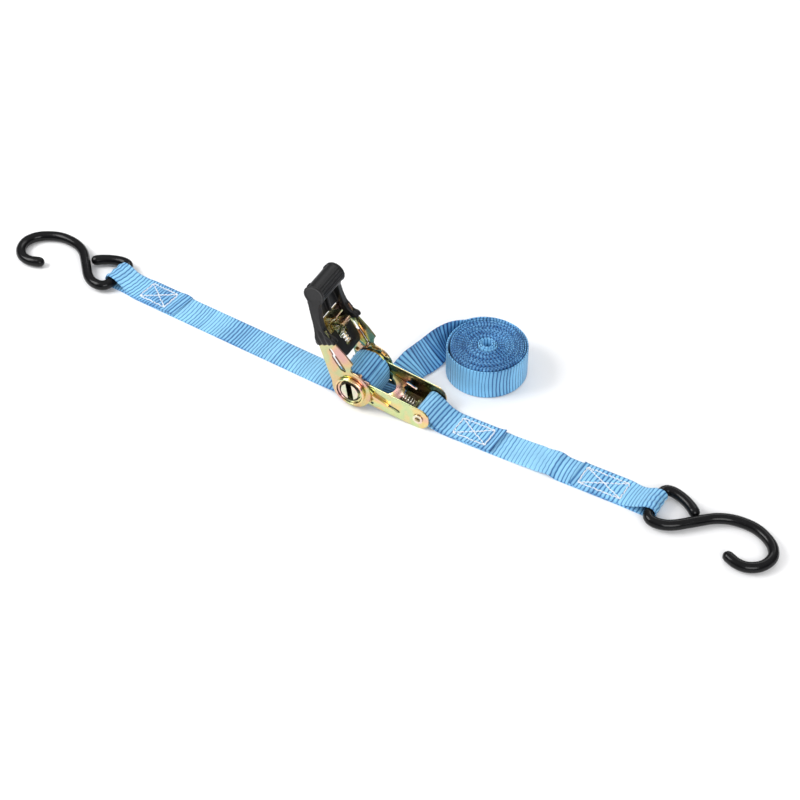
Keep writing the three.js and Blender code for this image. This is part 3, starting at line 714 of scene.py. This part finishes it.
def long_strap():
    """From the spool down to the floor, round the hook's bar and back, with its cut end lifted."""
    xz = dense([(-1, 1.875), (-8, 1.875)],
               catmull([(-14, 1.75), (-22, 1.2), (-34, 0.75), (-48, FLOOR_LINE), (-70, FLOOR_LINE)]),
               [(LONG_BAR, FLOOR_LINE)], arc(LONG_BAR, EYE_H, BAR_WRAP, 270, 90),
               catmull([(-226, 9.975), (-220, 6.6), (-214, 3.6), (-208, 1.9), (-200, UPPER_LINE)]),
               catmull([(-181, UPPER_LINE), (-178, 2.1), (-174.5, 2.75), (-171.5, 2.7), (-168.6, 1.95)]))
    line, across = upright(softened(xz))
    total = lengths(line)[-1]
    eye = float(lengths(line)[np.argmin(line[:, 0])])
    # the seam holds the part that comes back from the hook, so its span is counted from the cut end
    lines = box_stitch(-203.5, -179.5, -8.6, 8.6)
    swell = strap_swell(line, [((total - 37, total - 8), lines)], eye + 3)
    # painted shade over the sewn flap towards its lifted cut end
    obj, length = ribbon("long_webbing", BLUE, line, across, pitch=2.69, per_rib=8, columns=25,
                         place=LONG, swell=swell, sideways=pinch(LONG_BAR, -1.2), skew=0.05, seed=3,
                         shade=lambda s: -0.4 * ease(s, total - 60, total - 44))
    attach(obj, "base")
    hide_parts("long_strap")
    thread = sewn("long_webbing_stitches", lines, LONG, 5)


def short_strap():
    """Round the end pin, along the floor with a crease, round the hook's bar and back."""
    wrap = 4.375  # radius of the webbing's middle round the pin
    xz = dense(catmull([(58.5, 3.3), (57, 2.75), (55, 2.15), (52.5, 1.88), (50, UPPER_LINE)]),
               [(27, UPPER_LINE)], catmull([(21, 2.2), (14, 4.6), (9, 8.2), (4, PIN_H + wrap - 1.4)]),
               arc(0, PIN_H, wrap, 60, 270),
               catmull([(3, PIN_H - wrap), (9, 3), (16, 1.2), (24, FLOOR_LINE)]),
               catmull([(66, FLOOR_LINE), (76, 0.9), (84, 1.3), (90, 1.7), (93, 1.45), (96, 1.9),
                        (101, 2.6), (104, 2.7), (106, 2.1), (109, 1.0), (112, 0.66), (118, FLOOR_LINE)]),
               [(SHORT_BAR, FLOOR_LINE)], arc(SHORT_BAR, EYE_H, BAR_WRAP, -90, 90),
               catmull([(178, 9.975), (172, 6.6), (166, 3.6), (160, 1.9), (152, UPPER_LINE)]),
               catmull([(127, UPPER_LINE), (124.5, 1.95), (122.7, 2.3), (121, 2.7)]))
    line, across = upright(softened(xz))
    total = lengths(line)[-1]
    eye = float(lengths(line)[np.argmax(line[:, 0])])
    first = box_stitch(25.5, 51.5, -8.4, 8.4)
    second = box_stitch(125.5, 158, -8.2, 8.2)
    swell = strap_swell(line, [((4, 36), first), ((total - 41, total - 1), second)], eye + 3)
    # painted light on the single layer between the two sewn flaps
    obj, length = ribbon("short_webbing", BLUE, line, across, pitch=3.0, per_rib=8, columns=25,
                         place=SHORT, depth=0.42, swell=swell, sideways=pinch(SHORT_BAR, -3),
                         skew=-0.05, seed=8,
                         shade=lambda s: 0.55 * ease(s, 105, 120) * (1 - ease(s, 172, 182)))
    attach(obj, "base")
    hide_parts("short_strap")
    threads = [sewn("short_webbing_stitches", first, SHORT, 6),
               sewn("short_webbing_eye_stitches", second, SHORT, 7)]


# the spare webbing from the buckle to the coil: x, y, and its tilt from flat to on edge in degrees
TAIL_X = 19.1
TAIL = [(TAIL_X, 10, 0), (TAIL_X, 18, 0), (TAIL_X, 26, 2), (19.7, 33.6, 10), (22.2, 40.2, 23),
        (26, 46.6, 34), (29, 53.6, 44), (30.9, 61, 59), (33.2, 68.8, 75), (37, 75.8, 85), (42.4, 81.2, 90)]
COIL_START = 147  # direction in which the tail meets the coil, in degrees
COIL_MIDDLE = 12.95  # height of the coil's middle line
COIL_INNER = 8.0  # inside this radius the webbing is slack


def resting(tilt):
    """Height of a strap's middle when its lower edge touches the floor."""
    a = math.radians(tilt)
    return (WIDTH * math.sin(a) + 2 * FLOOR_LINE * math.cos(a)) / 2 + 0.1


def coil_radius(turns):
    """Radius of the middle of the webbing, from the outermost turn inwards; it is slack at two places."""
    direction = (COIL_START - 360 * turns) % 360
    r = 31.4 - 1.3 * ease(turns, 0.0, 0.2)
    if turns > 0.75:
        under = ease(turns, 0.75, 1.0)
        r -= under * (1.2 * max(turns, 1.0) + 0.06)
        slack = 0.95 * math.exp(-((direction - 205) / 32) ** 2)
        slack += 0.8 * math.exp(-((direction - 325) / 26) ** 2)
        r -= slack * under * (1 - 0.75 * ease(turns, 2.0, 3.2)) + 0.5 * ease(turns, 1.0, 2.4)
    return r


def spare_strap():
    """The free end: it twists from flat to on edge and runs on into the coil."""
    points, tilts = [], []
    for y in np.arange(-10, 9, 3.0):
        points.append((TAIL_X, y, resting(0)))
        tilts.append(0)
    for x, y, tilt in TAIL:
        points.append((x, y, resting(tilt)))
        tilts.append(tilt)
    turns, t = [], 0.035
    while coil_radius(t) >= COIL_INNER:
        r = coil_radius(t)
        turns.append((t, r))
        t += 1.6 / (2 * math.pi * r)
    # the last turns, loose in the middle
    for f in np.linspace(0, 1, 67)[1:]:
        t += 0.045
        turns.append((t, 7.9 - 4.6 * f))
    last = t
    for t, r in turns:
        a = math.radians(COIL_START - 360 * t)
        rise = 0.35 * math.sin(2.3 * t + 0.4) + 0.2 * math.sin(5.1 * t)
        rise += 1.5 * ease(t, last - 2.9, last - 2.0)
        points.append((COIL_X + r * math.cos(a), COIL_Y + r * math.sin(a),
                       COIL_MIDDLE + rise * ease(t, 0.8, 2)))
        tilts.append(90)
    line = catmull(points, 0.45)
    rough = lengths(np.array(points))
    d = lengths(line)
    tilt = np.radians(np.interp(d / d[-1], rough / rough[-1], tilts))
    along = unit(np.gradient(line, axis=0))
    flat = unit(np.stack([along[:, 1], -along[:, 0], np.zeros(len(line))], 1))
    across = flat * np.cos(tilt)[:, None] + np.array([0, 0, -1.0]) * np.sin(tilt)[:, None]

    def painted_light_and_shade(s):
        """Painted shade on the tail and the turns inside the outer one, painted light on the outer turn and
        more on the cut end in the middle.
        """
        outer = ease(s, 85, 120) * (1 - ease(s, 290, 330))
        return -0.35 + 0.75 * outer + 1.1 * ease(s, d[-1] - 92, d[-1] - 70)

    obj, length = ribbon("spare_webbing", BLUE_PAINTED_SHADE, line, across, pitch=2.6, per_rib=4, columns=5,
                         place=GROUND, thick=1.14, shade=painted_light_and_shade, seed=11)
    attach(obj, "base")
    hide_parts("tail_strap", "strap_coil")

    # the part that comes down between spool and pawl and turns under
    x0 = 15.125
    start = arc(0, AXLE_H, x0, 42, 0, 3)
    under = catmull([(x0 - 0.2, 9), (x0 - 2.2, 5.2), (x0 - 5, 3.1), (x0 - 8.5, 2.1)])
    down, side = upright(softened(dense(start, [(x0, 12)], under)))

    def thin(s, _, level):
        """Its upper end thins out where it leaves the roll."""
        return -0.86 * (1 - ease(s, 0, 9)) * np.maximum(level, 0)

    lead, lead_length = ribbon("spare_webbing_lead", BLUE_PAINTED_SHADE, down, side, pitch=2.69, per_rib=8,
                               columns=9, place=GROUND, thick=1.1, swell=thin, seed=12)
    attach(lead, "base")


def wound_roll():
    """The webbing on the spool: through the slot, then round in close turns."""
    slot = math.radians(107)
    start = [(r * math.cos(slot), r * math.sin(slot)) for r in (-6.4, -3, 0, 3, 6.4)]
    # the spiral's radius grows by a layer each turn, and the last turn lies even
    inner, layer, spiral_turns, all_turns = 8.3, 1.2, 3.9, 4.9
    turns = []
    t = 0.0
    while t < all_turns:
        r = inner + layer * min(t, spiral_turns)
        if t > spiral_turns:
            r += 0.56 * ease(t, spiral_turns, 4.0)
        a = slot + math.radians(18 + 360 * t)
        turns.append((r * math.cos(a), r * math.sin(a)))
        t += 0.02
    xz = dense(catmull(start + turns, 0.5))
    line, across = upright(softened(xz, 3))
    # painted shade over the roll, with bands of painted light along it
    obj, length = ribbon("spool_webbing", BLUE_PAINTED_SHADE, line, across, pitch=2.4, per_rib=8, columns=9,
                         place=CHANNEL, thick=1.12, depth=0.36, wander=0.2, seed=15,
                         shade=lambda s: -0.5 + 0.55 * np.sin(s / 6.3))
    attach(obj, "spool")
    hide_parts("strap_roll")


# ---- steel --------------------------------------------------------------------------------
SPRING_WIRE = 0.45


def finished(obj):
    """The mesh of an object with its modifiers applied, which are then taken off."""
    bpy.context.view_layer.update()
    mesh = bpy.data.meshes.new_from_object(obj.evaluated_get(bpy.context.evaluated_depsgraph_get()))
    obj.modifiers.clear()
    obj.data = mesh
    return mesh


def refined(node, body, look, bevel=0.14, limit=26, segments=2):
    """A CAD node's own shape, with welded faces and edges above the limit angle eased."""
    bm = bmesh.new()
    bm.from_mesh(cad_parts[node].data)
    bmesh.ops.remove_doubles(bm, verts=bm.verts, dist=2e-6)
    bmesh.ops.dissolve_limit(bm, angle_limit=math.radians(1.0), verts=bm.verts, edges=bm.edges,
                             use_dissolve_boundaries=False)
    points = [tuple(v.co) for v in bm.verts]
    bm.verts.index_update()
    faces = [[v.index for v in f.verts] for f in bm.faces]
    bm.free()
    mesh = bpy.data.meshes.new(node + "_finished")
    mesh.from_pydata(points, [], faces)
    mesh.materials.append(look)
    obj = linked(node + "_finished", mesh)
    edges = obj.modifiers.new("edges", "BEVEL")
    edges.width = bevel * MM
    edges.segments = segments
    edges.limit_method = "ANGLE"
    edges.angle_limit = math.radians(limit)
    mesh = finished(obj)
    mesh.polygons.foreach_set("use_smooth", [True] * len(mesh.polygons))
    mesh.set_sharp_from_angle(angle=math.radians(32))
    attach(obj, body)
    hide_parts(node)


def helix(name, node, x0, x1, radius, turns, place, body, drop=0.0):
    """A compression spring from x0 to x1, which stays put at x1 when its joint squashes it."""
    t = np.linspace(0, 1, int(turns * 30) + 1)
    # the turns lie closer towards both ends
    x = x0 + (x1 - x0) * (ease(t, -0.06, 1.06) * 0.35 + t * 0.65)
    a = 2 * np.pi * turns * t
    pts = np.stack([x, radius * np.cos(a), radius * np.sin(a) + drop], 1)
    verts, faces = tube(pts, SPRING_WIRE, 10)
    obj = solid(name, verts, faces, SPRING, place)
    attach(obj, body)
    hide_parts(node)
    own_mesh(obj)


# ---- hooks --------------------------------------------------------------------------------
# middle of the hook's wire in its own plane: the eye's arm, the bar that the webbing holds, the
# shank, the bend and the tip. The bar is at 0 along the hook, and the hook lies tilted, with its
# bend on the floor.
HOOK_LINE = [
    (26.8, 3.5), (24.4, 5.7), (19, 9.3), (12.4, 12.2), (7, 13.4), (3.7, 13.3), (0.9, 11.9), (0, 8.9),
    (0, 3), (0, -3), (0, -9), (0, -13.2), (1.2, -16.6), (4.2, -18.8), (9, -19.2), (15, -17.7),
    (21, -13.8), (27.2, -8), (34, -1.4), (42, 5.6), (51, 9.9), (60, 11.4), (69, 10.9), (77.5, 7.6),
    (85.6, 1.2), (89.4, -8), (86, -18.6), (78, -24.6), (70.4, -25.1), (63.2, -22.4),
]
HOOK_REACH = 90
HOOK_TILT = math.degrees(math.asin((EYE_H - WIRE_R) / HOOK_REACH))


def coated_hook(node, place, body):
    line = softened(catmull([(u, v, 0.0) for u, v in HOOK_LINE], 0.7), 8)
    s = lengths(line)
    # the coating runs a little thicker towards both tips, and is nowhere quite even
    radius = WIRE_R + 0.16 * np.exp(-((s[-1] - s) / 5) ** 2) + 0.12 * np.exp(-(s / 5) ** 2)
    radius = radius + 0.04 * np.sin(s * 0.31) * np.sin(s * 0.113 + 1)
    verts, faces = tube(line, np.minimum(radius, 4.02), 28)
    obj = solid(node + "_coated", verts, faces, VINYL, place)
    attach(obj, body)
    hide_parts(node)


# ---- grip ---------------------------------------------------------------------------------
GRIP_BAR = (80.8, -0.1)  # middle of the bar, in the handle's x and z
GRIP_BAR_R = 7.8
BAR_RIBS = (-90, 15, 0.75)  # direction of the middle rib and pitch in degrees, and depth
SIDE_GROOVES = (4.3, 0.6)  # pitch and depth
FRONT_GROOVES = (2.6, 0.35)


def read(items, name, per_item, kind=float):
    """One property of all vertices or edges of a mesh, a row for each."""
    out = np.zeros(len(items) * per_item, kind)
    items.foreach_get(name, out)
    return out.reshape(-1, per_item)


def remeshed(node, voxel, passes):
    """A CAD node's shape as an even mesh, and its points rounded off as moulded pieces are."""
    obj = linked(node + "_moulded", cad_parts[node].data.copy())
    grid = obj.modifiers.new("grid", "REMESH")
    grid.mode = "VOXEL"
    grid.voxel_size = voxel * MM
    mesh = finished(obj)
    edges = read(mesh.edges, "vertices", 2, np.int32)
    co = read(mesh.vertices, "co", 3)
    count = np.bincount(edges.ravel(), minlength=len(co))[:, None]
    for i in range(passes):
        total = np.zeros_like(co)
        for k in range(3):
            total[:, k] = (np.bincount(edges[:, 0], co[edges[:, 1], k], len(co))
                           + np.bincount(edges[:, 1], co[edges[:, 0], k], len(co)))
        pull = 0.55 if i % 2 == 0 else -0.56  # in and out in turn, which keeps the size
        co += pull * (total / count - co)
    return obj, co


def moulded_grip():
    obj, co = remeshed("grip", 0.42, 8)
    mesh = obj.data
    mesh.vertices.foreach_set("co", co.ravel())
    mesh.update()
    normals = read(mesh.vertices, "normal", 3)
    to_handle = HANDLE.inverted()
    x, y, z = moved(co / MM, to_handle).T
    n_local = normals @ np.array(to_handle)[:3, :3].T
    # fine ribs along the bar, on the side that the fingers meet
    bar_x, bar_z = x - GRIP_BAR[0], z - GRIP_BAR[1]
    angle = np.degrees(np.arctan2(bar_z, bar_x))
    on_bar = (np.abs(np.hypot(bar_x, bar_z) - GRIP_BAR_R) < 0.6) & (np.abs(y) < 13.4)
    middle_rib, pitch, depth = BAR_RIBS
    angle = angle - middle_rib
    band = np.exp(-((((angle + 180) % 360) - 180) / 38) ** 4)
    ribs = (0.5 + 0.5 * np.cos(np.radians(angle * 360 / pitch))) ** 1.5
    push = np.where(on_bar, -depth * band * ribs, 0)
    # grooves across the flared ends of the legs, on their outer and their front faces
    outer = (np.abs(n_local[:, 1]) > 0.6) & (np.abs(y) > 17)
    flare = ease(-x, -58, -46)
    pitch, depth = SIDE_GROOVES
    grooves = 0.5 + 0.5 * np.cos(2 * np.pi * (z - 0.12 * (x - 41) + 1.2) / pitch)
    push = push + np.where(outer, flare * depth * (1 - grooves), 0)
    pitch, depth = FRONT_GROOVES
    front = (n_local[:, 2] < -0.5) & (np.abs(y) > 13.5) & (x < 60)
    push = push + np.where(front, flare * depth * (0.5 + 0.5 * np.cos(2 * np.pi * y / pitch)), 0)
    co = co + normals * push[:, None] * MM
    mesh.vertices.foreach_set("co", co.ravel())
    mesh.update()
    mesh.materials.clear()
    mesh.materials.append(GRIP)
    mesh.polygons.foreach_set("use_smooth", [True] * len(mesh.polygons))
    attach(obj, "handle")
    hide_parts("grip")


# ---- floor, light, camera -----------------------------------------------------------------
def floor():
    n, reach, level = 24, 2600.0, -0.02
    xs = np.linspace(-reach, reach, n)
    verts = [(x * MM, y * MM, level * MM) for y in xs for x in xs]
    faces = [(j * n + i, j * n + i + 1, (j + 1) * n + i + 1, (j + 1) * n + i)
             for j in range(n - 1) for i in range(n - 1)]
    k = Look("paper")
    cloud = k.noise(12, 3, 0.5)
    k.set("Base Color", k.ramp(cloud, [(0.3, (0.92, 0.92, 0.925)), (0.7, (0.94, 0.94, 0.945))]))
    k.set("Roughness", 0.85)
    k.set("Specular IOR Level", 0.2)
    mesh = bpy.data.meshes.new("floor")
    mesh.from_pydata(verts, [], faces)
    mesh.materials.append(k.material)
    linked("floor", mesh)


def aim(obj, where, target):
    obj.location = where
    obj.rotation_euler = (Vector(target) - Vector(where)).to_track_quat("-Z", "Y").to_euler()


def soft_box(name, where, target, size, power):
    data = bpy.data.lights.new(name, "AREA")
    data.shape = "RECTANGLE"
    data.size, data.size_y = size
    data.energy = power
    aim(linked(name, data), where, target)


SKY = [(0.0, 0.12), (0.4, 0.34), (1.0, 0.98)]  # brightness of the surroundings, by height


def studio():
    """A room that is dark low down and pale above, a key from the left, a fill and a back light."""
    world = bpy.data.worlds.new("studio")
    bpy.context.scene.world = world
    world.use_nodes = True
    tree = world.node_tree
    place = tree.nodes.new("ShaderNodeTexCoord").outputs["Generated"]
    split = tree.nodes.new("ShaderNodeSeparateXYZ")
    tree.links.new(place, split.inputs[0])
    ramp = tree.nodes.new("ShaderNodeValToRGB")
    tree.links.new(split.outputs["Z"], ramp.inputs[0])
    elements = ramp.color_ramp.elements
    elements.new(0.5)
    for element, (position, value) in zip(elements, SKY):
        element.position = position
        element.color = (value, value, value * 1.01, 1)
    background = tree.nodes["Background"]
    tree.links.new(ramp.outputs["Color"], background.inputs["Color"])
    background.inputs["Strength"].default_value = 0.85
    soft_box("key", (-0.95, -0.55, 1.0), (0, 0, 0), (0.8, 0.7), 15)
    soft_box("fill", (0.95, -1.0, 0.8), (0.05, 0, 0), (0.9, 0.7), 12)
    soft_box("back", (-0.1, 1.1, 0.9), (0, 0, 0.02), (1.2, 0.3), 4)


def camera():
    data = bpy.data.cameras.new("camera")
    data.lens = 90
    data.sensor_width = 36
    data.clip_start = 0.05
    obj = linked("camera", data)
    aim(obj, Vector((523.3, -960.0, 1009.4)) * MM, Vector((25.3, -23.4, 0.0)) * MM)
    bpy.context.scene.camera = obj


# ---- the object ---------------------------------------------------------------------------
long_strap()
short_strap()
spare_strap()
wound_roll()
coated_hook("hook_long_side", LONG @ shift(LONG_BAR, 0, EYE_H) @ turn(180 - HOOK_TILT, "Y"), "hook_long")
coated_hook("hook_short_side", SHORT @ shift(SHORT_BAR, 0, EYE_H) @ turn(HOOK_TILT, "Y"), "hook_short")
moulded_grip()
refined("frame_channel", "base", ZINC_FRAME)
refined("end_pin", "base", STEEL, 0.12)
refined("frame_pawl", "frame_pawl", ZINC)
refined("handle_yoke", "handle", ZINC_HANDLE)
refined("drive_pawl", "drive_pawl", ZINC_PAWL)
refined("pawl_shield", "drive_pawl", SHIELD, 0.35, segments=3)
for side in ("near", "far"):
    refined("ratchet_wheel_" + side, "spool", ZINC_WHEEL, 0.12)
    refined("hub_washer_" + side, "spool", ZINC, 0.12)
    # the retaining rings are dark all over: painted shade in the gap round the shaft ends
    refined("retaining_ring_" + side, "spool", RING_PAINTED_SHADE, 0.04, 60)
for side in ("left", "right"):
    refined("half_shaft_" + side, "spool", STEEL_SHAFT, 0.2)
helix("frame_pawl_coil_spring", "frame_pawl_spring", x0=34.35, x1=44.67, radius=2.7, turns=5,
      place=PAWL, body="base")
helix("drive_pawl_coil_spring", "drive_pawl_spring", x0=30.6, x1=52.0, radius=2.5, turns=8,
      place=DRIVE, body="handle", drop=-1.6)
floor()
studio()
camera()
bpy.context.scene.view_settings.view_transform = "Standard"
